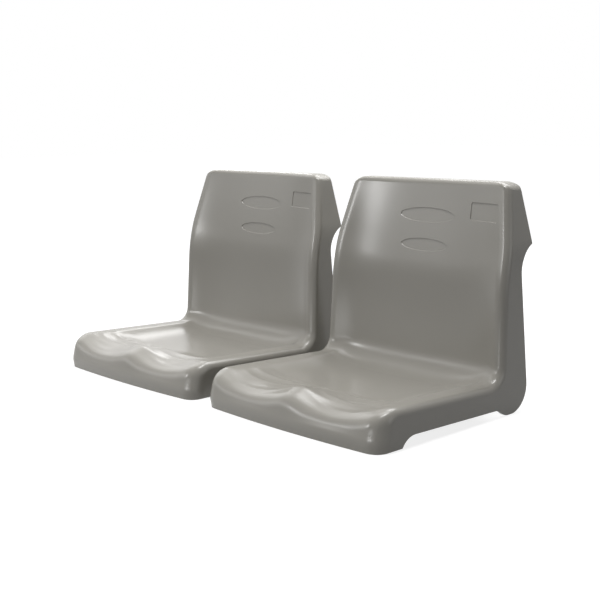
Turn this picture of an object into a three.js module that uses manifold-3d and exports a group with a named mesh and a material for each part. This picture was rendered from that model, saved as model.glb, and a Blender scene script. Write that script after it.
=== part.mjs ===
// A pair of moulded stadium seats, set side by side as in a row.
// Each seat is one thin plastic moulding with skirts all round, stiffened by ribs underneath and behind.
// Four bosses under the pan hold threaded inserts, and a pressed steel saddle bolts to them.
// Millimetres, +Z up. A sitter faces -Y. Each seat has its own frame: x from its middle line,
// y back from the foot of the lip, z up from the surface on which lip and heels stand.

import * as THREE from 'three';
import { mergeVertices } from 'three/addons/utils/BufferGeometryUtils.js';
import Module from 'manifold-3d';

const wasm = await Module();
wasm.setup();

// The row
const seatNames = ['left', 'right'];
const seatGap = 38;
const clearance = 0.3;
const overrun = 15;

// The moulding as a whole
const seatWidth = 462;
const wall = 4.5;
const sideDraftAngle = 1.5;
const rimRadius = 14;
const lipCornerRadius = 31;
const leastRadius = 0.5;

// The lip at the front of the pan, with a scoop for each thigh
const lipBow = 9;
const lipLean = 5;
const lipBulge = 3;
const lipBulgeFoot = 14;
const lipBulgeTop = 22;
const browHeight = 58;
const browRadius = 16;
const browRadiusGain = 14;
const crestBack = 50;
const crestHeight = 70;
const crestSideRise = 1.5;
const crestRadius = 14;
const crestRadiusGain = 21;
const scoopWidth = 205;
const scoopDepth = 20;

// The pan behind the crest
const dishWidth = 376;
const dishFrontBack = 112;
const dishFrontHeight = 48;
const dishFrontRadius = 60;
const dishRearHeight = 41;
const rimRearHeight = 60.7;
const dishPowerShare = 5;

// The backrest, whose rim is given at its foot, its bend and its top, each further back than the one before
const backFootBack = 336;
const backFootRadius = 30;
const backFootRadiusGain = 18;
const bendSetBack = 11.7;
const backBendHeight = 249;
const backBendRadius = 400;
const topSetBack = 43.8;
const seatHeight = 424.5;
const hollowWidth = 420;
const hollowAtFoot = 20;
const hollowAtBend = 28;
const hollowAtTop = 18;
const hollowFootPowerShare = 6;
const hollowBendPowerShare = 3.5;
const hollowTopPowerShare = 2.5;
const narrowing = 23;
const narrowingStart = 300;
const narrowingBlend = 40;
const topCornerRadius = 17;

// The hood that turns back and down from the top
const hoodDepth = 37;
const hoodTopRadius = 9;
const hoodRimRadius = 4;
const finSetBack = 10;
const finHeight = 312;

// The open edge of the skirts, from the fins down and forward to the lip
const waistDepth = 42;
const waistHeight = 292;
const waistRadius = 55;
const heelSetIn = 23;
const heelRadius = 52;
const heelLength = 73;
const notchLength = 17.5;
const notchRadius = 26;
const skirtRearHeight = 14.5;
const archBack = 73;
const skirtFrontHeight = 20.5;
const archRadius = 39;
const lipDepth = 62;

// The shallow recesses in the backrest: two ovals and a place for a number plate
const recessDepth = 1.2;
const upperOval = { width: 138, height: 29, across: 0, up: 354 };
const lowerOval = { width: 118, height: 25, across: 0, up: 296 };
const plateRecess = { width: 73, height: 34, across: 145, up: 367 };

// Ribs and bosses on the hidden side
const ribThickness = 3;
const ribDepth = 14;
const ribAcross = [60, 135];
const crossRibFoot = 22;
const bossDiameter = 24;
const bossSpreadAcross = 120;
const bossSpreadBack = 124;
const bossMiddleBack = 205;

// The steel saddle and its fixings
const saddleTop = 15;
const saddleThickness = 4;
const saddleWidth = 150;
const saddleLength = 164;
const saddleFlangeFoot = 2.5;
const saddleBendRadius = 6;
const saddleHole = 9;
const slotWidth = 10;
const slotLength = 24;
const slotSpreadAcross = 70;
const slotSpreadBack = 76;
const insertDiameter = 12;
const insertLength = 13;
const screwDiameter = 8;
const screwReach = 11;
const headFlats = 13;
const headHeight = 5.3;
const headChamferAngle = 30;
const washerDiameter = 16;
const washerThickness = 1.6;

// How finely the faces are divided
const flatSteps = 7;
const rimSteps = 3;
const lipSteps = 3;
const crestSteps = 2;
const dishSteps = 2;
const topSteps = 3;
const footSteps = 4;
const bendSteps = 2;
const backSteps = 3;
const edgeSteps = 4;
const saddleSteps = 3;
const roundSides = 12;

const halfWidth = seatWidth / 2;
const seatPitch = seatWidth + seatGap;
const backBendBack = backFootBack + bendSetBack;
const backTopBack = backBendBack + topSetBack;
const hoodTopBack = backTopBack + hoodDepth;
const finBack = hoodTopBack + finSetBack;
const waistBack = finBack - waistDepth;
const heelBack = finBack - heelSetIn;
const heelFrontBack = heelBack - heelLength;
const notchBack = heelFrontBack - notchLength;
const browCorner = 3;
const topCorner = 8;
const backRows = 1 + (bendSteps + 1) + (backSteps - 1);
const degree = Math.PI / 180;

const plastic = new THREE.MeshStandardMaterial({ color: 0x8a8780, roughness: 0.42, metalness: 0 });
const zincPlate = new THREE.MeshStandardMaterial({ color: 0xb4b6b6, roughness: 0.4, metalness: 0.9 });
const brass = new THREE.MeshStandardMaterial({ color: 0xb79a56, roughness: 0.35, metalness: 0.9 });

function blend(from, to, share) {
    return from + (to - from) * share;
}

// How far from each corner of a path its rounding reaches. Neighbours share a short run and leave some of it.
function reaches(corners) {
    const points = corners.map((corner) => new THREE.Vector2(corner.y, corner.z));
    const runs = points.slice(1).map((point, index) => point.distanceTo(points[index]));
    const wanted = corners.map((corner, index) => {
        if (!corner.radius) {
            return 0;
        }
        const turn = halfTurn(points[index - 1], points[index], points[index + 1]);
        return Math.max(corner.radius * Math.tan(turn), leastRadius);
    });
    return wanted.map((reach, index) => {
        const limits = [reach];
        if (reach) {
            limits.push(runs[index - 1] * reach / (reach + wanted[index - 1] + leastRadius));
            limits.push(runs[index] * reach / (reach + wanted[index + 1] + leastRadius));
        }
        return Math.min(...limits);
    });
}

// Half the angle by which a path turns at a corner.
function halfTurn(before, here, after) {
    const arriving = here.clone().sub(before).normalize();
    const leaving = after.clone().sub(here).normalize();
    return Math.acos(THREE.MathUtils.clamp(arriving.dot(leaving), -1, 1)) / 2;
}

// Points along a path of straight runs whose corners are rounded to true arcs.
// A corner holds y, z, its radius, the steps round it and the steps along the run after it.
function roundedPath(corners) {
    const reach = reaches(corners);
    const corner2 = corners.map((corner) => new THREE.Vector2(corner.y, corner.z));
    const towards = (from, to) => {
        const run = corner2[to].clone().sub(corner2[from]);
        return run.setLength(reach[from]).add(corner2[from]);
    };
    const points = [];
    corners.forEach((corner, index) => {
        const here = corner2[index];
        let end = here;
        if (reach[index]) {
            const start = towards(index, index - 1);
            end = towards(index, index + 1);
            const weight = Math.cos(halfTurn(corner2[index - 1], here, corner2[index + 1]));
            for (let step = 0; step <= corner.steps; step += 1) {
                const share = step / corner.steps;
                const first = (1 - share) ** 2;
                const middle = 2 * weight * share * (1 - share);
                const total = first + middle + share ** 2;
                points.push(new THREE.Vector2()
                    .addScaledVector(start, first / total)
                    .addScaledVector(here, middle / total)
                    .addScaledVector(end, share ** 2 / total));
            }
        } else {
            points.push(here);
        }
        for (let step = 1; step < (corner.runSteps ?? 1); step += 1) {
            points.push(end.clone().lerp(towards(index + 1, index), step / corner.runSteps));
        }
    });
    return points;
}

// The same corners moved into the solid by a depth and by the rim's fall, which a run may take in part.
// The solid lies to the right of the path.
function insetCorners(corners, depth, fall) {
    const runs = corners.slice(1).map((corner, index) => {
        const before = corners[index];
        const along = new THREE.Vector2(corner.y - before.y, corner.z - before.z).normalize();
        const inset = depth + fall * (before.rimShare ?? 1);
        return { along, inward: new THREE.Vector2(along.y, -along.x).multiplyScalar(inset) };
    });
    return corners.map((corner, index) => {
        const before = runs[index - 1] ?? runs[index];
        const after = runs[index] ?? before;
        const turn = before.along.cross(after.along);
        const move = before.inward.clone();
        if (Math.abs(turn) > Number.EPSILON) {
            const gap = after.inward.clone().sub(before.inward);
            move.addScaledVector(before.along, gap.cross(after.along) / turn);
        }
        let radius = corner.radius;
        if (radius) {
            radius = turn < 0 ? Math.max(radius - depth - fall, leastRadius) : radius + depth + fall;
        }
        return { ...corner, y: corner.y + move.x, z: corner.z + move.y, radius };
    });
}

// How far an arc that is tangent to a line has fallen away from it.
function arcFall(past, radius) {
    return radius - Math.sqrt(Math.max(radius ** 2 - Math.max(past, 0) ** 2, 0));
}

function rimFall(across, depth) {
    return arcFall(across - (halfWidth - rimRadius), rimRadius - depth);
}

function lipFall(across, depth) {
    const corner = arcFall(across - (halfWidth - lipCornerRadius), lipCornerRadius - depth);
    return lipBow * (across / halfWidth) ** 2 + Math.max(corner - rimFall(across, depth), 0);
}

function scoopFall(across) {
    return Math.max(scoopDepth * (1 - (2 * across / scoopWidth - 1) ** 2), 0);
}

function dishShare(across) {
    return Math.max(1 - (2 * across / dishWidth) ** dishPowerShare, 0);
}

function hollowShare(across, power) {
    return Math.max(1 - (2 * across / hollowWidth) ** power, 0);
}

// The section that a sitter touches, at a distance from the middle line: up the lip, back along
// the pan, up the backrest, over the hood and down its rear wall.
function skinCorners(across, depth, foot) {
    const fall = lipFall(across, depth);
    const scoop = scoopFall(across);
    const dish = dishShare(across);
    const hollowFoot = hollowAtFoot * hollowShare(across, hollowFootPowerShare);
    const hollowBend = hollowAtBend * hollowShare(across, hollowBendPowerShare);
    const hollowTop = hollowAtTop * hollowShare(across, hollowTopPowerShare);
    const sideShare = (across / halfWidth) ** 2;
    const crestUp = crestHeight + crestSideRise * sideShare;
    const rimShare = (dishFrontBack - crestBack) / (backFootBack - crestBack);
    const rimFrontHeight = blend(crestHeight + crestSideRise, rimRearHeight, rimShare);
    const hoodLean = (finBack - hoodTopBack) / (seatHeight - finHeight);
    return [
        { y: fall - lipBulge * foot / lipBulgeFoot, z: foot },
        { y: fall - lipBulge, z: lipBulgeFoot },
        { y: fall - lipBulge, z: lipBulgeTop },
        {
            y: fall + lipLean,
            z: browHeight - scoop,
            radius: browRadius + browRadiusGain * sideShare,
            steps: lipSteps,
        },
        {
            y: crestBack,
            z: crestUp - scoop,
            radius: crestRadius + crestRadiusGain * sideShare,
            steps: crestSteps,
        },
        {
            y: dishFrontBack,
            z: blend(rimFrontHeight, dishFrontHeight, dish),
            radius: dishFrontRadius,
            steps: dishSteps,
        },
        {
            y: backFootBack + hollowFoot,
            z: blend(rimRearHeight, dishRearHeight, dish),
            radius: backFootRadius + backFootRadiusGain * dish,
            steps: footSteps,
        },
        {
            y: backBendBack + hollowBend,
            z: backBendHeight,
            radius: backBendRadius,
            steps: bendSteps,
            runSteps: backSteps,
        },
        { y: backTopBack + hollowTop, z: seatHeight, radius: rimRadius, steps: topSteps },
        {
            y: hoodTopBack,
            z: seatHeight,
            radius: hoodTopRadius,
            steps: topSteps,
            rimShare: hoodRimRadius / rimRadius,
        },
        { y: finBack + hoodLean * (finHeight - foot), z: foot },
    ];
}

// How far a side face has drawn in towards the middle line at a height.
function sideRetreat(height, depth) {
    const past = height - narrowingStart;
    const slope = narrowing / (seatHeight - narrowingStart);
    const ramp = THREE.MathUtils.clamp(past + narrowingBlend / 2, 0, narrowingBlend);
    const narrowed = slope * (ramp ** 2 / (2 * narrowingBlend) + Math.max(past - narrowingBlend / 2, 0));
    const draft = Math.max(height, 0) * Math.tan(sideDraftAngle * degree);
    return draft + narrowed + arcFall(height - (seatHeight - topCornerRadius), topCornerRadius - depth);
}

// One closed section of the seat taken as a full block, its skin moved in by a depth.
// The backrest's rows have matching rows at their own heights on the hood's rear wall.
function blockSection(across, depth, foot, side) {
    const corners = insetCorners(skinCorners(across, depth, foot), depth, rimFall(across, depth));
    const path = roundedPath(corners);
    const hoodFoot = path.pop();
    const hoodTop = path.at(-1);
    const firstBackRow = path.length - 2 * (topSteps + 1) - backRows;
    for (let row = backRows - 1; row >= 0; row -= 1) {
        const height = path[firstBackRow + row].y;
        path.push(hoodTop.clone().lerp(hoodFoot, (hoodTop.y - height) / (hoodTop.y - hoodFoot.y)));
    }
    path.push(hoodFoot);
    const limit = halfWidth - depth;
    return path.map(({ x: back, y: height }) => {
        const x = across * (1 - sideRetreat(height, depth) / limit);
        return [side * x, back, height];
    });
}

// The triangles that close a section: a ladder up the backrest, and one flat face below it.
function capTriangles(section) {
    const firstBackRow = section.length - 1 - 2 * (topSteps + 1 + backRows);
    const lastRow = section.length - 2;
    const triangles = [];
    for (let rung = 0; rung < backRows + topSteps; rung += 1) {
        const front = firstBackRow + rung;
        const rear = lastRow - rung;
        triangles.push([front, front + 1, rear], [front + 1, rear - 1, rear]);
    }
    const lower = [...Array(firstBackRow + 1).keys(), lastRow, lastRow + 1];
    const outline = lower.map((index) => new THREE.Vector2(section[index][1], section[index][2]));
    for (const corners of THREE.ShapeUtils.triangulateShape(outline, [])) {
        triangles.push(corners.map((corner) => lower[corner]).reverse());
    }
    return triangles;
}

// The seat as a full block that stands on a foot height, its skin moved in by a depth.
function blockSolid(depth, foot) {
    const stations = [];
    for (let step = 0; step <= flatSteps; step += 1) {
        stations.push((halfWidth - rimRadius) * step / flatSteps);
    }
    for (let step = 1; step <= rimSteps; step += 1) {
        const turn = Math.PI / 2 * step / rimSteps;
        stations.push(halfWidth - rimRadius + (rimRadius - depth) * Math.sin(turn));
    }
    const sections = [
        ...stations.slice(1).reverse().map((across) => blockSection(across, depth, foot, -1)),
        ...stations.map((across) => blockSection(across, depth, foot, 1)),
    ];
    const count = sections[0].length;
    const last = (sections.length - 1) * count;
    const triangles = [];
    for (let base = 0; base < last; base += count) {
        for (let point = 0; point < count; point += 1) {
            const here = base + point;
            const next = base + (point + 1) % count;
            triangles.push(here, here + count, next, next, here + count, next + count);
        }
    }
    for (const [a, b, c] of capTriangles(sections[0])) {
        triangles.push(a, b, c, last + a, last + c, last + b);
    }
    return solidOf(sections.flat(2), triangles);
}

function solidOf(positions, triangles) {
    return new wasm.Manifold(new wasm.Mesh({
        numProp: 3,
        vertProperties: new Float32Array(positions),
        triVerts: new Uint32Array(triangles),
    }));
}

function solidFromGeometry(geometry) {
    const bare = geometry.clone();
    bare.deleteAttribute('normal');
    bare.deleteAttribute('uv');
    const merged = mergeVertices(bare);
    return solidOf(merged.attributes.position.array, merged.index.array);
}

function geometryFromSolid(solid) {
    const mesh = solid.getMesh();
    const geometry = new THREE.BufferGeometry();
    geometry.setAttribute('position', new THREE.BufferAttribute(mesh.vertProperties, 3));
    geometry.setIndex(new THREE.BufferAttribute(mesh.triVerts, 1));
    return geometry;
}

// A flat outline in y and z made into a body that runs across the seat between two places.
function solidAcross(points, from, to) {
    const shape = new THREE.Shape(points);
    const geometry = new THREE.ExtrudeGeometry(shape, { depth: to - from, bevelEnabled: false });
    geometry.applyMatrix4(new THREE.Matrix4().set(
        0, 0, 1, from,
        1, 0, 0, 0,
        0, 1, 0, 0,
        0, 0, 0, 1,
    ));
    return solidFromGeometry(geometry);
}

function box(width, length, height, x, y, z) {
    return solidFromGeometry(new THREE.BoxGeometry(width, length, height).translate(x, y, z));
}

function roundBar(diameter, height, x, y, z, sides = roundSides) {
    const geometry = new THREE.CylinderGeometry(diameter / 2, diameter / 2, height, sides);
    return solidFromGeometry(geometry.rotateX(Math.PI / 2).translate(x, y, z + height / 2));
}

// Everything above the skirts' open edge, seen from the side.
function sideEnvelope() {
    const outBack = 2 * finBack - waistBack;
    const outHeight = 2 * finHeight - waistHeight;
    const top = seatHeight + overrun;
    const outline = roundedPath([
        { y: outBack, z: outHeight },
        { y: waistBack, z: waistHeight, radius: waistRadius, steps: edgeSteps },
        { y: heelBack, z: 0, radius: heelRadius, steps: edgeSteps },
        { y: heelFrontBack, z: 0, radius: heelRadius, steps: edgeSteps },
        { y: notchBack, z: skirtRearHeight, radius: notchRadius, steps: edgeSteps },
        { y: archBack, z: skirtFrontHeight, radius: archRadius, steps: edgeSteps },
        { y: 2 * lipDepth - archBack, z: -skirtFrontHeight },
        { y: -overrun, z: -skirtFrontHeight },
        { y: -overrun, z: top },
        { y: outBack, z: top },
    ]);
    return solidAcross(outline, -halfWidth - overrun, halfWidth + overrun);
}

// A rib that follows the hidden side of the skin, from the brow of the lip to the top of the backrest.
function longRib(across) {
    const section = skinCorners(Math.abs(across), 0, 0);
    const skin = section.slice(browCorner, topCorner + 1);
    skin[0].radius = 0;
    skin[skin.length - 1].radius = 0;
    const near = roundedPath(insetCorners(skin, wall / 2, 0));
    const far = roundedPath(insetCorners(skin, wall + ribDepth, 0));
    return solidAcross([...near, ...far.reverse()], across - ribThickness / 2, across + ribThickness / 2);
}

// A plate across the seat under the pan, between the side skirts.
function crossRib(back) {
    const height = rimRearHeight - crossRibFoot;
    return box(seatWidth, ribThickness, height, 0, back, crossRibFoot + height / 2);
}

// An oval seen from the front, as a bar that runs through the backrest.
function ovalBar({ width, height, across, up }) {
    const geometry = new THREE.CylinderGeometry(1, 1, 1, 2 * roundSides);
    geometry.scale(width / 2, backTopBack, height / 2);
    return solidFromGeometry(geometry.translate(across, backTopBack, up));
}

// Four places round the middle of the pan.
function fourPlaces(spreadAcross, spreadBack) {
    const places = [];
    for (const side of [-1, 1]) {
        for (const end of [-1, 1]) {
            places.push([side * spreadAcross / 2, bossMiddleBack + end * spreadBack / 2]);
        }
    }
    return places;
}

// The space taken by the recesses, from their floors out to the front.
function recessBars(behindSkin) {
    const reach = backTopBack + hollowAtTop;
    const front = box(seatWidth, reach, seatHeight, 0, reach / 2, seatHeight / 2);
    const { width, height, across, up } = plateRecess;
    const plateBar = box(width, reach, height, across, reach, up);
    return [ovalBar(upperOval), ovalBar(lowerOval), plateBar]
        .map((bar) => bar.intersect(front).subtract(behindSkin));
}

function mouldSeat() {
    const behindSkin = blockSolid(recessDepth, -overrun);
    const hidden = [];
    for (const across of ribAcross) {
        hidden.push(longRib(across), longRib(-across));
    }
    for (const end of [-1, 1]) {
        hidden.push(crossRib(bossMiddleBack + end * bossSpreadBack / 2));
    }
    for (const [x, y] of screwPlaces) {
        hidden.push(roundBar(bossDiameter, rimRearHeight - bossFoot, x, y, bossFoot));
    }
    let seat = blockSolid(0, 0).subtract(blockSolid(wall, -overrun));
    for (const piece of hidden) {
        seat = seat.add(piece.intersect(behindSkin));
    }
    seat = seat.intersect(sideEnvelope());
    for (const [x, y] of screwPlaces) {
        const roof = bossFoot + insertLength + clearance;
        seat = seat.subtract(roundBar(insertDiameter + 2 * clearance, roof, x, y, 0));
    }
    for (const bar of recessBars(behindSkin)) {
        seat = seat.subtract(bar);
    }
    return geometryFromSolid(seat);
}

// The pressed steel channel that joins the four bosses and sits over a beam.
function pressSaddle() {
    const front = bossMiddleBack - saddleLength / 2;
    const rear = bossMiddleBack + saddleLength / 2;
    const corners = [
        { y: front, z: saddleFlangeFoot },
        { y: front, z: saddleTop, radius: saddleBendRadius, steps: saddleSteps },
        { y: rear, z: saddleTop, radius: saddleBendRadius, steps: saddleSteps },
        { y: rear, z: saddleFlangeFoot },
    ];
    const outer = roundedPath(corners);
    const inner = roundedPath(insetCorners(corners, saddleThickness, 0)).reverse();
    let saddle = solidAcross([...outer, ...inner], -saddleWidth / 2, saddleWidth / 2);
    for (const [x, y] of screwPlaces) {
        saddle = saddle.subtract(roundBar(saddleHole, 2 * saddleTop, x, y, 0));
    }
    for (const [x, y] of fourPlaces(slotSpreadAcross, slotSpreadBack)) {
        const run = slotLength - slotWidth;
        const slot = box(slotWidth, run, 2 * saddleTop, x, y, saddleTop)
            .add(roundBar(slotWidth, 2 * saddleTop, x, y - run / 2, 0))
            .add(roundBar(slotWidth, 2 * saddleTop, x, y + run / 2, 0));
        saddle = saddle.subtract(slot);
    }
    return geometryFromSolid(saddle);
}

// A ring whose hole runs right through it.
function ring(outerDiameter, holeDiameter, height, foot) {
    const body = roundBar(outerDiameter, height, 0, 0, foot);
    return geometryFromSolid(body.subtract(roundBar(holeDiameter, 3 * height, 0, 0, foot - height)));
}

// A hexagon head screw that points up, the free edge of its head chamfered.
function turnScrew(headTop) {
    const head = roundBar(headFlats / Math.cos(Math.PI / 6), headHeight, 0, 0, headTop - headHeight, 6);
    const widening = headHeight / Math.tan(headChamferAngle * degree);
    const cone = new THREE.CylinderGeometry(headFlats / 2 + widening, headFlats / 2, headHeight, roundSides)
        .rotateX(Math.PI / 2)
        .translate(0, 0, headTop - headHeight / 2);
    const shankFoot = headTop - headHeight / 2;
    const shank = roundBar(screwDiameter, bossFoot + screwReach - shankFoot, 0, 0, shankFoot);
    return geometryFromSolid(head.intersect(solidFromGeometry(cone)).add(shank));
}

function addMesh(group, name, geometry, material, x, y) {
    const mesh = new THREE.Mesh(geometry, material);
    mesh.name = name;
    mesh.position.set(x, y, 0);
    group.add(mesh);
}

const bossFoot = saddleTop + clearance;
const screwPlaces = fourPlaces(bossSpreadAcross, bossSpreadBack);
const washerTop = saddleTop - saddleThickness - clearance;
const shapes = {
    shell: mouldSeat(),
    saddle: pressSaddle(),
    insert: ring(insertDiameter, screwDiameter + 2 * clearance, insertLength, bossFoot),
    washer: ring(washerDiameter, saddleHole, washerThickness, washerTop - washerThickness),
    screw: turnScrew(washerTop - washerThickness - clearance),
};

const row = new THREE.Group();
seatNames.forEach((name, index) => {
    const seat = new THREE.Group();
    seat.position.set(seatPitch * (index - (seatNames.length - 1) / 2), (lipBulge - finBack) / 2, 0);
    addMesh(seat, `${name}_seat_shell`, shapes.shell, plastic, 0, 0);
    addMesh(seat, `${name}_saddle`, shapes.saddle, zincPlate, 0, 0);
    screwPlaces.forEach(([x, y], place) => {
        addMesh(seat, `${name}_insert_${place + 1}`, shapes.insert, brass, x, y);
        addMesh(seat, `${name}_washer_${place + 1}`, shapes.washer, zincPlate, x, y);
        addMesh(seat, `${name}_screw_${place + 1}`, shapes.screw, zincPlate, x, y);
    });
    row.add(seat);
});

export default row;
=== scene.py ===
# Two moulded stadium seats, side by side as in a row, on a plain pale floor.
# A sitter faces -Y. Each section makes one kind of piece, in the order in which a seat is put
# together.

import math
from collections import namedtuple

import bmesh
import bpy
from mathutils import Matrix, Vector
from mathutils.bvhtree import BVHTree


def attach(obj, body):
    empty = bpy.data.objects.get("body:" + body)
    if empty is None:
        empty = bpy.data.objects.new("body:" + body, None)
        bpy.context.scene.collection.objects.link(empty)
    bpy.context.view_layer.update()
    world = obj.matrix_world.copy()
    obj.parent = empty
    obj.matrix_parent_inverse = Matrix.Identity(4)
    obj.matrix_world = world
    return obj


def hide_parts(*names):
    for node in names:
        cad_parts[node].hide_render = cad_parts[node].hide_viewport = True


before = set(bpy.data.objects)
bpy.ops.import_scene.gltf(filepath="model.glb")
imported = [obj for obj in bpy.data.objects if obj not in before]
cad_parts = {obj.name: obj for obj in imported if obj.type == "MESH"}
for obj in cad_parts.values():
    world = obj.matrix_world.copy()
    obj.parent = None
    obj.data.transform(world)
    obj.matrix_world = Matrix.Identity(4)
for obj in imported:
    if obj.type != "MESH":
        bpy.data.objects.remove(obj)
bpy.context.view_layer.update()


# Camera
# The photograph's viewpoint, found from the horizon and from the far point at which the lips'
# edges meet. The long lens and the height above the floor are kept, so the angles are the same.
mm = 0.001
picture_width = 600
focal_pixels = 1080
row_vanishing_pixel = (-716, 130.5)
seat_tilt = math.radians(1.35)
camera_place = Vector((1637.8, -1450.1, 556.5)) * mm

pixel_centre = picture_width / 2
pitch_down = math.atan2(pixel_centre - row_vanishing_pixel[1], focal_pixels)
row_axis = -Vector((
    row_vanishing_pixel[0] - pixel_centre,
    row_vanishing_pixel[1] - pixel_centre,
    focal_pixels,
)).normalized()
level_up = Vector((0, -math.cos(pitch_down), -math.sin(pitch_down)))
level_back = level_up.cross(row_axis)
back_axis = level_back * math.cos(seat_tilt) + level_up * math.sin(seat_tilt)
up_axis = level_up * math.cos(seat_tilt) - level_back * math.sin(seat_tilt)

# A Blender camera looks along its own -Z, with +Y up.
camera_turn = Matrix((row_axis, back_axis, up_axis)) @ Matrix.Diagonal((1, -1, -1))
camera_data = bpy.data.cameras.new("camera")
camera_data.sensor_width = 36
camera_data.lens = focal_pixels / picture_width * camera_data.sensor_width
camera = bpy.data.objects.new("camera", camera_data)
camera.matrix_world = Matrix.Translation(camera_place) @ camera_turn.to_4x4()
bpy.context.collection.objects.link(camera)
bpy.context.scene.camera = camera


# Seat shells
# Each seat is one injection moulding in warm grey polypropylene with a satin face: lip, pan,
# backrest, hood and skirts in one wall. Ribs and four bosses stiffen its hidden side.

# All sizes are in millimetres, in the seat's own frame: x from its middle line, y back from the
# foot of the lip, z up from the surface on which lip and heels stand.
seat_sides = {"left": -1, "right": 1}
seat_pitch = 500
seat_width = 462
half_width = seat_width / 2
wall = 4.5
side_draft = math.radians(1.5)
rim_radius = 14
lip_corner_radius = 31
least_radius = 0.5

lip_bow = 9
lip_lean = 6
lip_bulge = 3
lip_bulge_foot = 14
lip_bulge_top = 22
lip_bulge_radius = 80
brow_height = 60
brow_radius = 32
crest_back = 50
crest_height = 73
crest_side_rise = -1.5
crest_radius = 28
crest_radius_gain = 21
scoop_width = 196
scoop_depth = 15
ridge_half_width = 9
ridge_radius = 7
scoop_side_blend = 2.4

dish_width = 376
swell_back = 98
swell_height = 59
swell_scoop_share = 0.15
swell_radius = 30
dish_front_back = 136
dish_front_height = 48
dish_front_radius = 90
terrace_start = 10
terrace_end = 118
terrace_edge = 28
terrace_length = 36
terrace_rise = 2.8
terrace_softness = 0.16
terrace_bow = 24
terrace_fade = 0.25
dish_rear_height = 41
rim_rear_height = 60.7
dish_power = 5
dish_blend_share = 0.1

back_foot_back = 336
back_foot_radius = 30
back_foot_radius_gain = 18
back_bend_back = 347.7
back_bend_height = 249
back_bend_radius = 400
back_top_back = 391.5
seat_height = 424.5
hollow_width = 420
hollow_at_foot = 20
hollow_at_bend = 28
hollow_at_top = 18
hollow_foot_power = 6
hollow_bend_power = 3.5
hollow_top_power = 2.5
hollow_blend_share = 0.06
narrowing = 23
narrowing_start = 300
narrowing_blend = 40
top_corner_radius = 17

hood_top_back = 428.5
hood_top_radius = 9
hood_rim_radius = 4
fin_back = 438.5
fin_height = 312

waist_back = 396.5
waist_height = 292
waist_radius = 55
heel_back = 415.5
heel_radius = 52
heel_front_back = 342.5
notch_back = 325
notch_radius = 26
skirt_rear_height = 14.5
arch_back = 73
skirt_front_height = 20.5
arch_radius = 39
lip_depth = 62

recess_depth = 1.2
ovals = ({"width": 138, "height": 29, "up": 354}, {"width": 118, "height": 25, "up": 296})
plate_width = 73
plate_height = 34
plate_across = 145
plate_up = 367
plate_corner = 3
recess_slope = 0.6
recess_reach = 3
corner_steps = 5

rib_thickness = 3
rib_depth = 14
rib_across = (60, 135)
cross_rib_foot = 22
boss_diameter = 24
boss_spread_across = 120
boss_spread_back = 124
boss_middle_back = 205
boss_foot = 15.3
insert_hole_diameter = 12.6
insert_hole_depth = 13.3

# By how much cutting bodies overrun, and how finely the shells are divided.
overrun = 15
flat_cell = 4
run_cell = 7
lip_cell = 3
arc_steps = 9
least_gap = 0.0001
least_turn = 1e-9
rim_steps = 9
round_sides = 64
row_back = (lip_bulge - fin_back) / 2

plastic_dark = (0.266, 0.255, 0.228)
plastic_light = (0.272, 0.261, 0.233)
plastic_roughness = (0.25, 0.27)
plastic_ior = 1.49
flow_noise = {"scale": 9, "detail": 3}
handling_noise = {"scale": 35, "detail": 4}
grain_noise = {"scale": 1400, "detail": 2}
grain_depth = 0.02 * mm
grain_strength = 0.08
noise_low, noise_high = 0.3, 0.7
shell_crease = math.radians(32)

# A corner of a section. Rim is the share of the rim's fall that the run after the corner takes.
Corner = namedtuple("Corner", "back up radius rim", defaults=(0, 1))

# Where the brow and the backrest's foot and top stand in the list that skin_corners gives.
brow_at, foot_at, top_at = 3, 7, 9


def blend(start, end, share):
    return start + (end - start) * share


def soft_floor(value, width):
    """The value where it is well above zero, and next to nothing below it, with a soft passage."""
    return (value + math.hypot(value, width)) / 2


def arc_fall(past, radius):
    """How far an arc that is tangent to a line has fallen away from it."""
    return radius - math.sqrt(max(radius ** 2 - max(past, 0) ** 2, 0))


def rim_fall(across, depth):
    """How far the skin has fallen away in the roll of its side rim."""
    return arc_fall(across - (half_width - rim_radius), rim_radius - depth)


def lip_fall(across, depth):
    """How far back the lip stands, from its bow and from its round front corner."""
    corner = arc_fall(across - (half_width - lip_corner_radius), lip_corner_radius - depth)
    return lip_bow * (across / half_width) ** 2 + max(corner - rim_fall(across, depth), 0)


def scoop_fall(across):
    """How deep the thigh scoops are. One lies on each side of the middle ridge."""
    off_ridge = soft_floor(abs(across) - ridge_half_width, ridge_radius)
    trough = scoop_depth * (1 - (2 * off_ridge / scoop_width - 1) ** 2)
    return soft_floor(trough, scoop_side_blend)


def dish_share(across):
    """One in the pan's dish and zero on its side rims."""
    return soft_floor(1 - (2 * across / dish_width) ** dish_power, dish_blend_share)


def hollow_share(across, power):
    """One in the backrest's hollow and zero on its side rims."""
    return soft_floor(1 - (2 * across / hollow_width) ** power, hollow_blend_share)


def rim_height(back):
    """The height of the pan's side rim, which falls evenly from the crest to the backrest."""
    share = (back - crest_back) / (back_foot_back - crest_back)
    return blend(crest_height + crest_side_rise, rim_rear_height, share)


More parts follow.
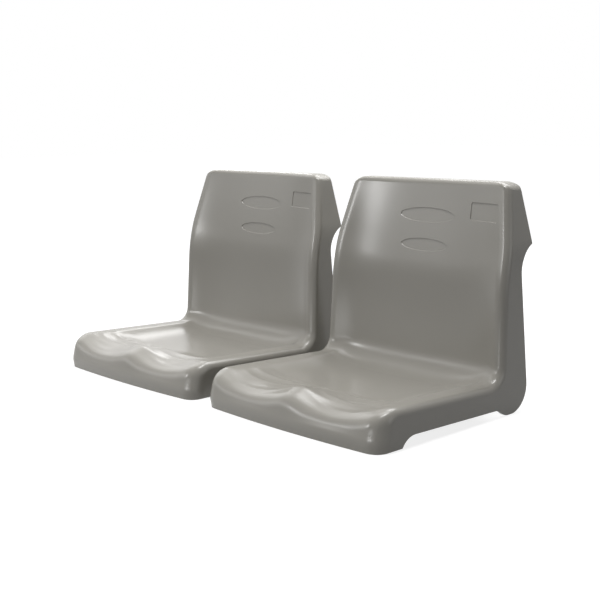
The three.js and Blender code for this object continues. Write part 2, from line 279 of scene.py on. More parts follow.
def skin_corners(across, foot):
    """The section that a sitter touches: lip, pan and backrest, and the hood behind them."""
    scoop = scoop_fall(across)
    dish = dish_share(across)
    hollow_foot = hollow_at_foot * hollow_share(across, hollow_foot_power)
    hollow_bend = hollow_at_bend * hollow_share(across, hollow_bend_power)
    hollow_top = hollow_at_top * hollow_share(across, hollow_top_power)
    side_share = (across / half_width) ** 2
    crest_up = crest_height + crest_side_rise * side_share
    swell = blend(rim_height(swell_back), swell_height, dish) - swell_scoop_share * scoop
    hood_lean = (fin_back - hood_top_back) / (seat_height - fin_height)
    dish_front = blend(rim_height(dish_front_back), dish_front_height, dish)
    dish_rear = blend(rim_rear_height, dish_rear_height, dish)
    foot_radius = back_foot_radius + back_foot_radius_gain * dish
    return [
        Corner(-lip_bulge * foot / lip_bulge_foot, foot),
        Corner(-lip_bulge, lip_bulge_foot, lip_bulge_radius),
        Corner(-lip_bulge, lip_bulge_top, lip_bulge_radius),
        Corner(lip_lean, brow_height - scoop, brow_radius),
        Corner(crest_back, crest_up - scoop, crest_radius + crest_radius_gain * side_share),
        Corner(swell_back, swell, swell_radius),
        Corner(dish_front_back, dish_front, dish_front_radius),
        Corner(back_foot_back + hollow_foot, dish_rear, foot_radius),
        Corner(back_bend_back + hollow_bend, back_bend_height, back_bend_radius),
        Corner(back_top_back + hollow_top, seat_height, rim_radius),
        Corner(hood_top_back, seat_height, hood_top_radius, hood_rim_radius / rim_radius),
        Corner(fin_back + hood_lean * (fin_height - foot), foot),
    ]


def terrace(back, across):
    """How far the scoops' soft terraces rise. Their edges bow, and they fade out all round."""
    back -= terrace_bow * (2 * abs(across) / half_width - 1) ** 2
    share = (back - terrace_start) / (terrace_end - terrace_start)
    if not 0 < share < 1:
        return 0
    fade = min(1, share / terrace_fade, (1 - share) / terrace_fade)
    fade *= scoop_fall(across) / scoop_depth
    wave = math.hypot(math.sin(math.pi * (back - terrace_edge) / terrace_length), terrace_softness)
    return terrace_rise * fade * (1 / 2 - wave)


def lip_set_back(corners, across, depth):
    """The lip is bowed, so its corners move back towards the seat's sides."""
    fall = lip_fall(across, depth)
    lip = [corner._replace(back=corner.back + fall) for corner in corners[:brow_at + 1]]
    return lip + corners[brow_at + 1:]


def inset(corners, depth, fall):
    """The corners moved into the solid, right of the path, by a depth and by the rim's fall."""
    points = [Vector((corner.back, corner.up)) for corner in corners]
    runs = []
    for corner, start, end in zip(corners, points, points[1:]):
        along = (end - start).normalized()
        runs.append((along, Vector((along.y, -along.x)) * (depth + fall * corner.rim)))
    moved = []
    for index, corner in enumerate(corners):
        before = runs[max(index - 1, 0)]
        after = runs[min(index, len(runs) - 1)]
        side = before[0].cross(after[0])
        move = before[1].copy()
        if abs(side) > least_turn:
            move += before[0] * ((after[1] - before[1]).cross(after[0]) / side)
        radius = corner.radius
        if radius and side < 0:
            radius = max(radius - depth - fall, least_radius)
        elif radius:
            radius = radius + depth + fall
        back, up = corner.back + move.x, corner.up + move.y
        moved.append(corner._replace(back=back, up=up, radius=radius))
    return moved


def half_turn(before, here, after):
    """Half the angle through which a path turns at a corner."""
    arriving = (here - before).normalized()
    leaving = (after - here).normalized()
    return math.acos(max(-1, min(1, arriving.dot(leaving)))) / 2


def rounded(corners, run_counts=None):
    """Points along straight runs and the true arcs between them, and each arc's first and last."""
    points = [Vector((corner.back, corner.up)) for corner in corners]
    wanted = [0] * len(corners)
    for index, corner in enumerate(corners):
        if corner.radius:
            bend = half_turn(points[index - 1], points[index], points[index + 1])
            wanted[index] = max(corner.radius * math.tan(bend), least_radius)
    reach = list(wanted)
    for index, value in enumerate(wanted):
        if value:
            before = (points[index] - points[index - 1]).length
            after = (points[index + 1] - points[index]).length
            reach[index] = min(
                value,
                before * value / (value + wanted[index - 1] + least_radius),
                after * value / (value + wanted[index + 1] + least_radius),
            )
    path, starts, ends = [], [], []
    for index, here in enumerate(points):
        starts.append(len(path))
        end = here
        if reach[index]:
            start = here + (points[index - 1] - here).normalized() * reach[index]
            end = here + (points[index + 1] - here).normalized() * reach[index]
            weight = math.cos(half_turn(points[index - 1], here, points[index + 1]))
            for step in range(arc_steps + 1):
                share = step / arc_steps
                first, last = (1 - share) ** 2, share ** 2
                middle = 2 * weight * share * (1 - share)
                path.append((start * first + here * middle + end * last) / (first + middle + last))
        else:
            path.append(here)
        ends.append(len(path) - 1)
        if run_counts and index + 1 < len(points):
            target = points[index + 1]
            if reach[index + 1]:
                target = target + (here - target).normalized() * reach[index + 1]
            for step in range(1, run_counts[index]):
                path.append(end.lerp(target, step / run_counts[index]))
    return path, starts, ends


def side_retreat(height, depth):
    """How far a side face has drawn in towards the middle line at a height."""
    past = height - narrowing_start
    slope = narrowing / (seat_height - narrowing_start)
    ramp = max(0, min(narrowing_blend, past + narrowing_blend / 2))
    narrowed = slope * (ramp ** 2 / (2 * narrowing_blend) + max(past - narrowing_blend / 2, 0))
    draft = max(height, 0) * math.tan(side_draft)
    corner = arc_fall(height - (seat_height - top_corner_radius), top_corner_radius - depth)
    return draft + narrowed + corner


def run_counts_of(corners):
    """Into how many lengths each straight run is divided, from the section at the middle line."""
    counts = []
    for start, end in zip(corners, corners[1:]):
        length = math.hypot(end.back - start.back, end.up - start.up)
        cell = run_cell if start.back > dish_front_back else lip_cell
        counts.append(max(1, round(length / cell)))
    return counts[:-1]


def block_section(across, depth, foot, counts):
    """One closed section of the full block, and where its backrest's rows begin and end."""
    corners = lip_set_back(skin_corners(across, foot), across, depth)
    corners = inset(corners, depth, rim_fall(across, depth))
    path, starts, ends = rounded(corners, counts + [1])
    hood_foot = path.pop()
    hood_top = path[-1]
    for point in path[:ends[foot_at]]:
        point.y += terrace(point.x, across)
    rows = path[ends[foot_at]:starts[top_at]]
    for row in reversed(rows):
        path.append(hood_top.lerp(hood_foot, (hood_top.y - row.y) / (hood_top.y - hood_foot.y)))
    path.append(hood_foot)
    limit = half_width - depth
    section = []
    for point in path:
        section.append((across * (1 - side_retreat(point.y, depth) / limit), point.x, point.y))
    return section, ends[foot_at], ends[top_at]


def block_mesh(depth, foot):
    """The seat as a full block that stands on a foot height, its skin moved in by a depth."""
    counts = run_counts_of(skin_corners(0, foot))
    flat = half_width - rim_radius
    flat_steps = round(flat / flat_cell)
    stations = [flat * step / flat_steps for step in range(flat_steps + 1)]
    for step in range(1, rim_steps + 1):
        stations.append(flat + (rim_radius - depth) * math.sin(math.pi / 2 * step / rim_steps))
    halves = [block_section(across, depth, foot, counts) for across in stations]
    first_row, top_end = halves[0][1:]
    right = [section for section, _, _ in halves]
    left = [[(-x, y, z) for x, y, z in section] for section in right[:0:-1]]
    sections = left + right
    count = len(sections[0])
    points = [point for section in sections for point in section]
    faces = []
    for base in range(0, (len(sections) - 1) * count, count):
        for point in range(count):
            after = (point + 1) % count
            faces.append((base + point, base + point + count, base + after + count, base + after))

    # Each end is closed by a face at the pan, rungs across the backrest and a face at the top.
    last_row = count - 2
    rungs = top_end - first_row
    cap = [list(range(first_row + 1)) + [last_row, last_row + 1]]
    for rung in range(rungs - 1):
        front, rear = first_row + rung, last_row - rung
        cap.append([front, front + 1, rear - 1, rear])
    cap.append(list(range(top_end - 1, last_row - rungs + 2)))
    last = (len(sections) - 1) * count
    for face in cap:
        faces.append(face)
        faces.append([last + index for index in reversed(face)])
    return closed_mesh(points, faces)


def closed_mesh(points, faces):
    """A mesh whose doubled points are merged and whose faces point outwards."""
    mesh = bpy.data.meshes.new("block")
    mesh.from_pydata(points, [], faces)
    body = bmesh.new()
    body.from_mesh(mesh)
    bmesh.ops.remove_doubles(body, verts=body.verts, dist=least_gap)
    bmesh.ops.recalc_face_normals(body, faces=body.faces)
    body.to_mesh(mesh)
    body.free()
    return mesh


def slab(outline, start, end):
    """A flat outline in y and z made into a body that runs across the seat between two places."""
    count = len(outline)
    points = [(across, point[0], point[1]) for across in (start, end) for point in outline]
    faces = [list(range(count)), list(range(2 * count - 1, count - 1, -1))]
    for index in range(count):
        after = (index + 1) % count
        faces.append((index, after, count + after, count + index))
    return closed_mesh(points, faces)


def upright(outline, foot, top):
    """A flat outline in x and y made into a body that stands between two heights."""
    mesh = slab(outline, foot, top)
    mesh.transform(Matrix(((0, 1, 0, 0), (0, 0, 1, 0), (1, 0, 0, 0), (0, 0, 0, 1))))
    return mesh


def oval_outline(width, height, x, y, sides=round_sides):
    """Points round an oval, or at the corners of a polygon where the sides are few."""
    angles = [2 * math.pi * side / sides for side in range(sides)]
    return [(x + width / 2 * math.cos(angle), y + height / 2 * math.sin(angle)) for angle in angles]


def combined(base, tool, operation):
    """Two closed meshes joined, cut or intersected into a new one."""
    holders = [bpy.data.objects.new("holder", mesh) for mesh in (base, tool)]
    for holder in holders:
        bpy.context.collection.objects.link(holder)
    modifier = holders[0].modifiers.new("combine", "BOOLEAN")
    modifier.solver = "MANIFOLD"
    modifier.operation = operation
    modifier.object = holders[1]
    bpy.context.view_layer.update()
    graph = bpy.context.evaluated_depsgraph_get()
    result = bpy.data.meshes.new_from_object(holders[0].evaluated_get(graph))
    for holder in holders:
        bpy.data.objects.remove(holder)
    return result


def side_envelope():
    """Everything above the skirts' open edge, seen from the side."""
    out_back = 2 * fin_back - waist_back
    out_height = 2 * fin_height - waist_height
    top = seat_height + overrun
    outline, _, _ = rounded([
        Corner(out_back, out_height),
        Corner(waist_back, waist_height, waist_radius),
        Corner(heel_back, 0, heel_radius),
        Corner(heel_front_back, 0, heel_radius),
        Corner(notch_back, skirt_rear_height, notch_radius),
        Corner(arch_back, skirt_front_height, arch_radius),
        Corner(2 * lip_depth - arch_back, -skirt_front_height),
        Corner(-overrun, -skirt_front_height),
        Corner(-overrun, top),
        Corner(out_back, top),
    ])
    return slab(outline, -half_width - overrun, half_width + overrun)


def long_rib(across):
    """A rib that follows the hidden side of the skin from the brow to the backrest's top."""
    skin = skin_corners(abs(across), 0)[brow_at:top_at + 1]
    skin[0] = skin[0]._replace(radius=0)
    skin[-1] = skin[-1]._replace(radius=0)
    near, _, _ = rounded(inset(skin, wall / 2, 0))
    far, _, _ = rounded(inset(skin, wall + rib_depth, 0))
    return slab(near + far[::-1], across - rib_thickness / 2, across + rib_thickness / 2)


def hidden_side():
    """Ribs that follow the skin, ribs across the pan and four bosses, in one body."""
    pieces = [long_rib(side * across) for side in (-1, 1) for across in rib_across]
    for end in (-1, 1):
        back = boss_middle_back + end * boss_spread_back / 2
        front, rear = back - rib_thickness / 2, back + rib_thickness / 2
        outline = [
            (front, cross_rib_foot),
            (rear, cross_rib_foot),
            (rear, rim_rear_height),
            (front, rim_rear_height),
        ]
        pieces.append(slab(outline, -half_width, half_width))
    for place in boss_places():
        outline = oval_outline(boss_diameter, boss_diameter, *place)
        pieces.append(upright(outline, boss_foot, rim_rear_height))
    body = pieces[0]
    for piece in pieces[1:]:
        body = combined(body, piece, "UNION")
    return body


def four_places(spread_across, spread_back):
    """Four places in x and y round the middle of the bosses."""
    places = []
    for side in (-1, 1):
        for end in (-1, 1):
            places.append((side * spread_across / 2, boss_middle_back + end * spread_back / 2))
    return places


def boss_places():
    return four_places(boss_spread_across, boss_spread_back)


def plate_outline():
    """The number plate's recess from the front: round corners, and sides in short lengths."""
    x, z = plate_width / 2 - plate_corner, plate_height / 2 - plate_corner
    corners = []
    for quarter, (side_x, side_z) in enumerate(((1, 1), (-1, 1), (-1, -1), (1, -1))):
        centre = Vector((plate_across + side_x * x, plate_up + side_z * z))
        for step in range(corner_steps + 1):
            angle = math.pi / 2 * (quarter + step / corner_steps)
            corners.append(centre + plate_corner * Vector((math.cos(angle), math.sin(angle))))
    outline = []
    for start, end in zip(corners, corners[1:] + corners[:1]):
        lengths = max(1, round((end - start).length / flat_cell))
        for step in range(lengths):
            outline.append(start.lerp(end, step / lengths))
    return outline


def recess_plug(outline, skin):
    """A plug for one recess. It follows the skin round its edge, and its walls slope in."""
    count = len(outline)
    middle = Vector(outline[0]).lerp(Vector(outline[count // 2]), 1 / 2)
    points = []
    for depth in (-recess_reach, recess_reach):
        for index, point in enumerate(outline):
            along = Vector(outline[(index + 1) % count]) - Vector(outline[index - 1])
            outward = Vector((along.y, -along.x)).normalized() * -depth * recess_slope
            back = skin_back(skin, point) + depth
            points.append((point[0] + outward.x, back, point[1] + outward.y))
    for depth in (-recess_reach, 2 * recess_reach):
        points.append((middle.x, skin_back(skin, middle) + depth, middle.y))
    faces = []
    for index in range(count):
        after = (index + 1) % count
        faces.append((index, after, count + after, count + index))
        faces.append((after, index, 2 * count))
        faces.append((count + index, count + after, 2 * count + 1))
    return closed_mesh(points, faces)


def skin_back(skin, point):
    """How far back the front of the backrest is at a place across and up."""
    hit = skin.ray_cast(Vector((point[0], dish_front_back, point[1])), Vector((0, 1, 0)))
    return hit[0].y


def seat_mesh():
    """Skin and wall, ribs and bosses, the skirts' open edge, the inserts' holes, the recesses."""
    behind_skin = block_mesh(recess_depth, -overrun)
    seat = combined(block_mesh(0, 0), block_mesh(wall, -overrun), "DIFFERENCE")
    seat = combined(seat, combined(hidden_side(), behind_skin, "INTERSECT"), "UNION")
    seat = combined(seat, side_envelope(), "INTERSECT")
    for place in boss_places():
        outline = oval_outline(insert_hole_diameter, insert_hole_diameter, *place)
        hole = upright(outline, 0, boss_foot + insert_hole_depth)
        seat = combined(seat, hole, "DIFFERENCE")
    shape = bmesh.new()
    shape.from_mesh(seat)
    skin = BVHTree.FromBMesh(shape)
    shape.free()
    outlines = []
    for oval in ovals:
        outlines.append(oval_outline(oval["width"], oval["height"], 0, oval["up"], 2 * round_sides))
    outlines.append(plate_outline())
    for outline in outlines:
        plug = combined(recess_plug(outline, skin), behind_skin, "DIFFERENCE")
        seat = combined(seat, plug, "DIFFERENCE")
    return seat


def new_material(name):
    material = bpy.data.materials.new(name)
    material.use_nodes = True
    return material, material.node_tree


def shader_socket(tree, name):
    return tree.nodes["Principled BSDF"].inputs[name]


def add_noise(tree, scale, detail):
    """A noise that stays put on the piece, as a value from zero to one."""
    coordinates = tree.nodes.new("ShaderNodeTexCoord")
    noise = tree.nodes.new("ShaderNodeTexNoise")
    noise.inputs["Scale"].default_value = scale
    noise.inputs["Detail"].default_value = detail
    tree.links.new(coordinates.outputs["Object"], noise.inputs["Vector"])
    return noise.outputs["Fac"]


def colour_by(tree, noise, dark, light):
    """The colour goes from dark to light with the noise."""
    ramp = tree.nodes.new("ShaderNodeValToRGB")
    ramp.color_ramp.elements[0].position = noise_low
    ramp.color_ramp.elements[0].color = (*dark, 1)
    ramp.color_ramp.elements[1].position = noise_high
    ramp.color_ramp.elements[1].color = (*light, 1)
    tree.links.new(noise, ramp.inputs["Fac"])
    tree.links.new(ramp.outputs["Color"], shader_socket(tree, "Base Color"))


def roughness_by(tree, noise, low, high):
    """The roughness goes from low to high with the noise."""
    spread = tree.nodes.new("ShaderNodeMapRange")
    spread.inputs["To Min"].default_value = low
    spread.inputs["To Max"].default_value = high
    tree.links.new(noise, spread.inputs["Value"])
    tree.links.new(spread.outputs["Result"], shader_socket(tree, "Roughness"))


def grain_by(tree, noise, depth, strength):
    """The surface rises and falls with the noise."""
    bump = tree.nodes.new("ShaderNodeBump")
    bump.inputs["Distance"].default_value = depth
    bump.inputs["Strength"].default_value = strength
    tree.links.new(noise, bump.inputs["Height"])
    tree.links.new(bump.outputs["Normal"], shader_socket(tree, "Normal"))


def moulded_plastic():
    """Satin polypropylene with a hair-fine eroded grain. Its colour drifts with the melt's flow."""
    material, tree = new_material("moulded_plastic")
    colour_by(tree, add_noise(tree, **flow_noise), plastic_dark, plastic_light)
    roughness_by(tree, add_noise(tree, **handling_noise), *plastic_roughness)
    grain_by(tree, add_noise(tree, **grain_noise), grain_depth, grain_strength)
    shader_socket(tree, "IOR").default_value = plastic_ior
    return material


def set_in_row(shape, name, nodes, material, crease):
    """A finished object for each seat, in its place in the row, which stands for its CAD nodes."""
    pieces = []
    for side_name, side in seat_sides.items():
        mesh = shape.copy()
        mesh.transform(Matrix.Translation((side * seat_pitch / 2, row_back, 0)))
        mesh.transform(Matrix.Scale(mm, 4))
        mesh.materials.clear()
        mesh.materials.append(material)
        mesh.shade_smooth()
        mesh.set_sharp_from_angle(angle=crease)
        piece = bpy.data.objects.new(f"{side_name}_{name}", mesh)
        bpy.context.collection.objects.link(piece)
        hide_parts(*[f"{side_name}_{node}" for node in nodes])
        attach(piece, "root")
        pieces.append(piece)
    return pieces


shell_plastic = moulded_plastic()
shell_nodes = ["seat_shell"]
shells = set_in_row(
    seat_mesh(), "shell", shell_nodes, shell_plastic, shell_crease
)
for shell in shells:
    shell.modifiers.new("even_shading", "WEIGHTED_NORMAL").keep_sharp = True


# Saddles
# Under each pan a channel pressed from 4 mm steel sheet and zinc plated sits over the beam. Its
# four holes take the seat's screws, and its four slots take the bolts of the beam. Its punched
# edges were rounded in the barrel.
saddle_top = 15
saddle_thickness = 4
saddle_width = 150
saddle_length = 164
saddle_flange_foot = 2.5
saddle_bend_radius = 6
saddle_hole = 9
slot_width = 10
slot_length = 24
slot_spread_across = 70
slot_spread_back = 76
saddle_edge = 0.5
edge_steps = 2
round_profile = 0.5
flat_angle = math.radians(1)
edge_angle = math.radians(40)
metal_crease = math.radians(30)

zinc_dark = (0.46, 0.47, 0.47)
zinc_light = (0.6, 0.61, 0.61)
zinc_roughness = (0.28, 0.46)
spangle_noise = {"scale": 160, "detail": 4}
scuff_noise = {"scale": 900, "detail": 3}
scuff_depth = 0.03 * mm
scuff_strength = 0.3


def slot_outline(x, y):
    """A slot with round ends that runs back, as points in x and y."""
    run = (slot_length - slot_width) / 2
    ring = oval_outline(slot_width, slot_width, x, y)

    # The ring is parted a hair behind its middle, so rounding doesn't decide where.
    parting = y + slot_width / 2 / round_sides
    return [(across, back + math.copysign(run, back - parting)) for across, back in ring]


def eased(mesh, radius):
    """Every sharp edge of a mesh rounded over."""
    body = bmesh.new()
    body.from_mesh(mesh)
    bmesh.ops.dissolve_limit(body, angle_limit=flat_angle, verts=body.verts, edges=body.edges)
    sharp = [edge for edge in body.edges if edge.calc_face_angle(0) > edge_angle]
    bmesh.ops.bevel(
        body, geom=sharp, offset=radius, segments=edge_steps, profile=round_profile, affect="EDGES"
    )
    body.to_mesh(mesh)
    body.free()
    return mesh


def saddle_mesh():
    """A bent sheet with its flanges down, then its holes and slots, then its eased edges."""
    front = boss_middle_back - saddle_length / 2
    rear = boss_middle_back + saddle_length / 2
    corners = [
        Corner(front, saddle_flange_foot),
        Corner(front, saddle_top, saddle_bend_radius),
        Corner(rear, saddle_top, saddle_bend_radius),
        Corner(rear, saddle_flange_foot),
    ]
    outer, _, _ = rounded(corners)
    inner, _, _ = rounded(inset(corners, saddle_thickness, 0))
    saddle = slab(outer + inner[::-1], -saddle_width / 2, saddle_width / 2)
    outlines = [oval_outline(saddle_hole, saddle_hole, *place) for place in boss_places()]
    for place in four_places(slot_spread_across, slot_spread_back):
        outlines.append(slot_outline(*place))
    for outline in outlines:
        saddle = combined(saddle, upright(outline, 0, 2 * saddle_top), "DIFFERENCE")
    return eased(saddle, saddle_edge)


def zinc_plated():
    """Bright zinc: pale blue-grey metal with faint spangle and fine scuffs from the barrel."""
    material, tree = new_material("zinc_plated_steel")
    spangle = add_noise(tree, **spangle_noise)
    colour_by(tree, spangle, zinc_dark, zinc_light)
    roughness_by(tree, spangle, *zinc_roughness)
    grain_by(tree, add_noise(tree, **scuff_noise), scuff_depth, scuff_strength)
    shader_socket(tree, "Metallic").default_value = 1
    return material


zinc_steel = zinc_plated()
saddle_nodes = ["saddle"]
set_in_row(saddle_mesh(), "pressed_saddle", saddle_nodes, zinc_steel, metal_crease)


# Threaded inserts
# Turned brass sleeves set in the four bosses while the shell is still warm. Two bands of straight
# knurling and the groove between them hold each sleeve in the plastic. Only its lower end shows,
# through the saddle's hole.
insert_diameter = 12
insert_length = 13
insert_bore = 8.6
insert_chamfer = 0.6
knurl_depth = 0.35
knurl_ridges = 30
knurl_samples = 4
groove_depth = 0.8
groove_height = 2

brass_dark = (0.42, 0.27, 0.08)
brass_light = (0.55, 0.38, 0.13)
brass_roughness = (0.25, 0.4)
tarnish_noise = {"scale": 300, "detail": 3}


def turned(profile, sides, radius_at=lambda radius, angle: radius):
    """A closed profile of radii and heights turned about z. A rule may move each radius."""
    count = len(profile)
    points = []
    for side in range(sides):
        angle = 2 * math.pi * side / sides
        for radius, height in profile:
            reach = radius_at(radius, angle)
            points.append((reach * math.cos(angle), reach * math.sin(angle), height))
    faces = []
    for side in range(sides):
        base, beside = side * count, (side + 1) % sides * count
        for index in range(count):
            after = (index + 1) % count
            faces.append((base + index, beside + index, beside + after, base + after))
    return closed_mesh(points, faces)


def insert_mesh():
    """A sleeve with chamfered ends and two knurled bands."""
    outer, bore = insert_diameter / 2, insert_bore / 2
    foot, top = boss_foot, boss_foot + insert_length
    middle, half_groove = (foot + top) / 2, groove_height / 2
    profile = [
        (bore + insert_chamfer, foot),
        (outer - insert_chamfer, foot),
        (outer, foot + insert_chamfer),
        (outer, middle - half_groove),
        (outer - groove_depth, middle - half_groove),
        (outer - groove_depth, middle + half_groove),
        (outer, middle + half_groove),
        (outer, top - insert_chamfer),
        (outer - insert_chamfer, top),
        (bore + insert_chamfer, top),
        (bore, top - insert_chamfer),
        (bore, foot + insert_chamfer),
    ]

    def knurled(radius, angle):
        valley = abs(angle * knurl_ridges / math.pi % 2 - 1)
        return radius - knurl_depth * valley if radius == outer else radius

    return turned(profile, knurl_samples * knurl_ridges, knurled)


def turned_brass():
    """Brass with a light, uneven tarnish."""
    material, tree = new_material("turned_brass")
    tarnish = add_noise(tree, **tarnish_noise)
    colour_by(tree, tarnish, brass_dark, brass_light)
    roughness_by(tree, tarnish, *brass_roughness)
    shader_socket(tree, "Metallic").default_value = 1
    return material


def boss_pattern():
    """A node tree that sets its geometry at each of the four bosses of a pan."""
    tree = bpy.data.node_groups.new("boss_pattern", "GeometryNodeTree")
    tree.interface.new_socket("Geometry", in_out="OUTPUT", socket_type="NodeSocketGeometry")
    tree.interface.new_socket("Geometry", in_out="INPUT", socket_type="NodeSocketGeometry")
    for name in ("Spread Across", "Spread Back", "Middle Back"):
        tree.interface.new_socket(name, in_out="INPUT", socket_type="NodeSocketFloat")
    tree.interface.new_socket("Material", in_out="INPUT", socket_type="NodeSocketMaterial")
    nodes, links = tree.nodes, tree.links
    given = nodes.new("NodeGroupInput")
    grid = nodes.new("GeometryNodeMeshGrid")
    grid.inputs["Vertices X"].default_value = 2
    grid.inputs["Vertices Y"].default_value = 2
    links.new(given.outputs["Spread Across"], grid.inputs["Size X"])
    links.new(given.outputs["Spread Back"], grid.inputs["Size Y"])
    middle = nodes.new("ShaderNodeCombineXYZ")
    links.new(given.outputs["Middle Back"], middle.inputs["Y"])
    moved = nodes.new("GeometryNodeTransform")
    links.new(grid.outputs["Mesh"], moved.inputs["Geometry"])
    links.new(middle.outputs["Vector"], moved.inputs["Translation"])
    copies = nodes.new("GeometryNodeInstanceOnPoints")
    links.new(moved.outputs["Geometry"], copies.inputs["Points"])
    links.new(given.outputs["Geometry"], copies.inputs["Instance"])
    realized = nodes.new("GeometryNodeRealizeInstances")
    links.new(copies.outputs["Instances"], realized.inputs["Geometry"])
    finish = nodes.new("GeometryNodeSetMaterial")
    links.new(realized.outputs["Geometry"], finish.inputs["Geometry"])
    links.new(given.outputs["Material"], finish.inputs["Material"])
    links.new(finish.outputs["Geometry"], nodes.new("NodeGroupOutput").inputs["Geometry"])
    return tree


def at_bosses(mesh, material):
    """The mesh set at each of the four bosses, as one plain mesh."""
    values = {
        "Spread Across": boss_spread_across,
        "Spread Back": boss_spread_back,
        "Middle Back": boss_middle_back,
        "Material": material,
    }
    holder = bpy.data.objects.new("holder", mesh)
    modifier = holder.modifiers.new("boss_pattern", "NODES")
    modifier.node_group = four_bosses
    for socket in four_bosses.interface.items_tree:
        if socket.in_out == "INPUT" and socket.name in values:
            modifier[socket.identifier] = values[socket.name]
    bpy.context.collection.objects.link(holder)
    bpy.context.view_layer.update()
    graph = bpy.context.evaluated_depsgraph_get()
    result = bpy.data.meshes.new_from_object(holder.evaluated_get(graph))
    bpy.data.objects.remove(holder)
    return result


def four_nodes(kind):
    """The names of a seat's four CAD nodes of one kind, without the seat's side."""
    return [f"{kind}_{place + 1}" for place in range(len(boss_places()))]


four_bosses = boss_pattern()
insert_brass = turned_brass()
inserts = at_bosses(insert_mesh(), insert_brass)
insert_nodes = four_nodes("insert")
set_in_row(inserts, "boss_inserts", insert_nodes, insert_brass, metal_crease)


# Washers
# Plain zinc-plated washers between the screws' heads and the saddle, with a hair's breadth left
# above and below. Their edges were rounded in the barrel.
washer_gap = 0.3
washer_diameter = 16
washer_thickness = 1.6
washer_edge = 0.25


def washer_mesh():
    """A flat ring with eased edges, at its height under the saddle."""
    outer, bore = washer_diameter / 2, saddle_hole / 2
    top = saddle_top - saddle_thickness - washer_gap
    foot = top - washer_thickness
    profile = [
        (bore + washer_edge, foot),
        (outer - washer_edge, foot),
        (outer, foot + washer_edge),
        (outer, top - washer_edge),
        (outer - washer_edge, top),
        (bore + washer_edge, top),
        (bore, top - washer_edge),
        (bore, foot + washer_edge),
    ]
    return turned(profile, round_sides)


washers = at_bosses(washer_mesh(), zinc_steel)
washer_nodes = four_nodes("washer")
set_in_row(washers, "plain_washers", washer_nodes, zinc_steel, metal_crease)


# Screws
# Zinc-plated M8 hexagon head screws, driven up into the inserts from below. The free edge of
# each head is chamfered, and a rolled thread runs from under the head to the tip.
screw_diameter = 8
screw_reach = 11
thread_pitch = 1.25
thread_depth = 0.68
thread_samples = 8
thread_sides = 24
head_sides = 6
head_flats = 13
head_height = 5.3
head_chamfer = math.radians(30)


def threaded_shank(foot, top):
    """A right-hand thread, cut level at both ends."""
    rows = round((top - foot) / thread_pitch * thread_samples)
    points = []
    for row in range(rows + 1):
        height = foot + (top - foot) * row / rows
        runout = min(1, (top - height) / thread_pitch)
        for side in range(thread_sides):
            turn = side / thread_sides
            groove = abs((height / thread_pitch - turn) % 1 * 2 - 1)
            radius = screw_diameter / 2 - thread_depth * (1 - (1 - groove) * runout)
            angle = 2 * math.pi * turn
            points.append((radius * math.cos(angle), radius * math.sin(angle), height))
    faces = [list(range(base, base + thread_sides)) for base in (0, rows * thread_sides)]
    for base in range(0, rows * thread_sides, thread_sides):
        for side in range(thread_sides):
            here, after = base + side, base + (side + 1) % thread_sides
            faces.append((here, after, after + thread_sides, here + thread_sides))
    return closed_mesh(points, faces)


def screw_mesh():
    """A hexagon cut by the cone of its chamfer, with a threaded shank that starts inside it."""
    head_top = saddle_top - saddle_thickness - washer_thickness - 2 * washer_gap
    head_foot = head_top - head_height
    corners = head_flats / math.cos(math.pi / head_sides)
    head = upright(oval_outline(corners, corners, 0, 0, head_sides), head_foot, head_top)
    widening = head_height / math.tan(head_chamfer)
    flare = [
        (0, head_foot),
        (head_flats / 2, head_foot),
        (head_flats / 2 + widening, head_top),
        (0, head_top),
    ]
    head = combined(head, turned(flare, round_sides), "INTERSECT")
    shank = threaded_shank(head_top - head_height / 2, boss_foot + screw_reach)
    return combined(head, shank, "UNION")


screws = at_bosses(screw_mesh(), zinc_steel)
screw_nodes = four_nodes("screw")
set_in_row(screws, "hexagon_screws", screw_nodes, zinc_steel, metal_crease)


# Floor and background
# A plain pale floor that takes the seats' soft shadow and passes into a white background. Both
# are white to the eye and in reflections, and throw little light of their own on the seats.

# How pale the floor is to the light that it throws up and to the eye, and the glow that lifts it
# to white between two distances in metres.
floor_size = 12
floor_bounce = 0.17
floor_seen = 0.3
lift_near = 0.82
lift_start = 0.75
lift_end = 1.7
ambient_strength = 0.06
white = (1, 1, 1, 1)

floor_mesh = bpy.data.meshes.new("floor")
floor_signs = ((-1, -1), (1, -1), (1, 1), (-1, 1))
floor_corners = [(x * floor_size, y * floor_size, 0) for x, y in floor_signs]
floor_mesh.from_pydata(floor_corners, [], [(0, 1, 2, 3)])
floor = bpy.data.objects.new("floor", floor_mesh)
bpy.context.collection.objects.link(floor)


def seen_rays(nodes, links):
    """One for rays from the camera, a mirror or glass, and zero for those that only carry light."""
    path = nodes.new("ShaderNodeLightPath")
    total = path.outputs["Is Camera Ray"]
    for kind in ("Is Glossy Ray", "Is Transmission Ray"):
        either = nodes.new("ShaderNodeMath")
        either.operation = "MAXIMUM"
        links.new(total, either.inputs[0])
        links.new(path.outputs[kind], either.inputs[1])
        total = either.outputs["Value"]
    return total


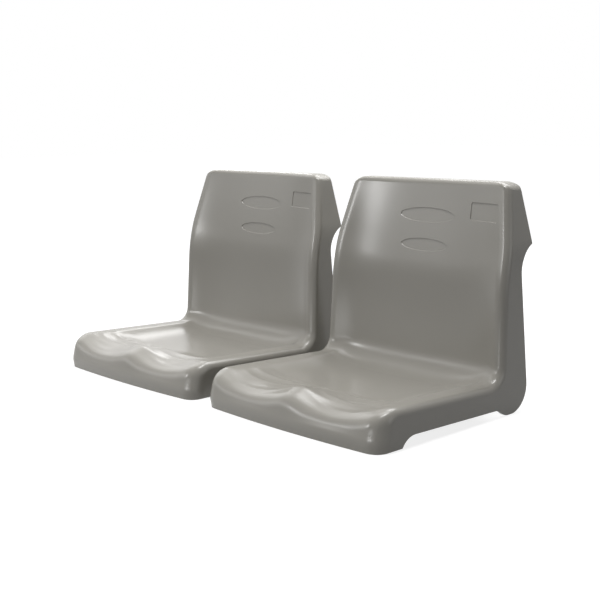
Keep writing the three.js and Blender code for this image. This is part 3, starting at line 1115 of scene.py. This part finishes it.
def pale_floor():
    """Matt and pale. It is seen as white but for the shadow, and as wholly white further out."""
    material, tree = new_material("pale_floor")
    nodes, links = tree.nodes, tree.links
    nodes.remove(nodes["Principled BSDF"])
    matt = nodes.new("ShaderNodeBsdfDiffuse")
    matt.inputs["Color"].default_value = (floor_bounce, floor_bounce, floor_bounce, 1)
    seen = nodes.new("ShaderNodeBsdfDiffuse")
    seen.inputs["Color"].default_value = (floor_seen, floor_seen, floor_seen, 1)
    coordinates = nodes.new("ShaderNodeTexCoord")
    distance = nodes.new("ShaderNodeVectorMath")
    distance.operation = "LENGTH"
    links.new(coordinates.outputs["Object"], distance.inputs[0])
    rise = nodes.new("ShaderNodeMapRange")
    rise.interpolation_type = "SMOOTHSTEP"
    rise.inputs["From Min"].default_value = lift_start
    rise.inputs["From Max"].default_value = lift_end
    rise.inputs["To Min"].default_value = lift_near
    rise.inputs["To Max"].default_value = 1
    links.new(distance.outputs["Value"], rise.inputs["Value"])
    lift = nodes.new("ShaderNodeEmission")
    links.new(rise.outputs["Result"], lift.inputs["Strength"])
    lifted = nodes.new("ShaderNodeAddShader")
    links.new(seen.outputs["BSDF"], lifted.inputs[0])
    links.new(lift.outputs["Emission"], lifted.inputs[1])
    choice = nodes.new("ShaderNodeMixShader")
    links.new(seen_rays(nodes, links), choice.inputs["Fac"])
    links.new(matt.outputs["BSDF"], choice.inputs[1])
    links.new(lifted.outputs["Shader"], choice.inputs[2])
    links.new(choice.outputs["Shader"], nodes["Material Output"].inputs["Surface"])
    return material


floor_mesh.materials.append(pale_floor())

world = bpy.data.worlds.new("world")
world.use_nodes = True
bpy.context.scene.world = world
world_nodes, world_links = world.node_tree.nodes, world.node_tree.links
ambient = world_nodes["Background"]
ambient.inputs["Color"].default_value = white
ambient.inputs["Strength"].default_value = ambient_strength
seen_white = world_nodes.new("ShaderNodeBackground")
seen_white.inputs["Color"].default_value = white
seen_white.inputs["Strength"].default_value = 1
backdrop = world_nodes.new("ShaderNodeMixShader")
world_links.new(seen_rays(world_nodes, world_links), backdrop.inputs["Fac"])
world_links.new(ambient.outputs["Background"], backdrop.inputs[1])
world_links.new(seen_white.outputs["Background"], backdrop.inputs[2])
world_links.new(backdrop.outputs["Shader"], world_nodes["World Output"].inputs["Surface"])


# Studio lights
# Soft boxes overhead, two wide ones behind for the top edges, and two on the left that draw the
# lines on lip and rims. A panel and a narrow box in front give the backrests their sheen and
# streak, a gridded strip by the floor lights the lips' faces, and a weak box fills the right.
def soft_light(name, place, aim, size, power, spread=180):
    """A soft box of a width and a height in metres. A small spread stands for a grid on it."""
    data = bpy.data.lights.new(name, "AREA")
    data.shape = "RECTANGLE"
    data.size, data.size_y = size
    data.energy = power
    data.spread = math.radians(spread)
    light = bpy.data.objects.new(name, data)
    light.location = place
    light.rotation_mode = "QUATERNION"
    light.rotation_quaternion = (Vector(aim) - Vector(place)).to_track_quat("-Z", "Y")
    bpy.context.collection.objects.link(light)


soft_light("front_high", place=(0.3, -0.3, 2.6), aim=(0, 0, 0.15), size=(0.8, 0.8), power=36)
soft_light("rear_high", place=(0, 0.97, 2.56), aim=(0, 0, 0.15), size=(0.8, 0.8), power=3)
soft_light("top_strip", place=(-0.3, 0.5, 2.2), aim=(-0.3, 0, 0), size=(1.6, 1), power=20)
soft_light("rear_strip", place=(-0.3, 1.1, 1.8), aim=(-0.3, 0.1, 0.3), size=(1.6, 0.8), power=20)
soft_light("left_panel", place=(-2, 0.3, 1.5), aim=(0.2, 0, 0.3), size=(1.2, 1.6), power=6.5)
soft_light("left_rear", place=(-1.7, 1.1, 1.1), aim=(0.2, -0.1, 0.1), size=(0.5, 0.5), power=3.5)
soft_light(
    "front_panel", place=(-1.7, -1.6, 0.95), aim=(0.1, 0.17, 0.36), size=(1.8, 0.6), power=5
)
soft_light("right_fill", place=(2, 0.2, 0.6), aim=(0.4, 0, 0.2), size=(0.8, 0.8), power=2.5)
soft_light(
    "streak", place=(-0.88, -2.05, 1), aim=(0.11, 0.17, 0.38), size=(0.32, 0.4), power=11.5
)
soft_light(
    "low_strip",
    place=(0.05, -0.75, 0.05),
    aim=(0.05, 0, -0.06),
    size=(1.3, 0.06),
    power=0.25,
    spread=40,
)

bpy.context.scene.view_settings.view_transform = "Standard"
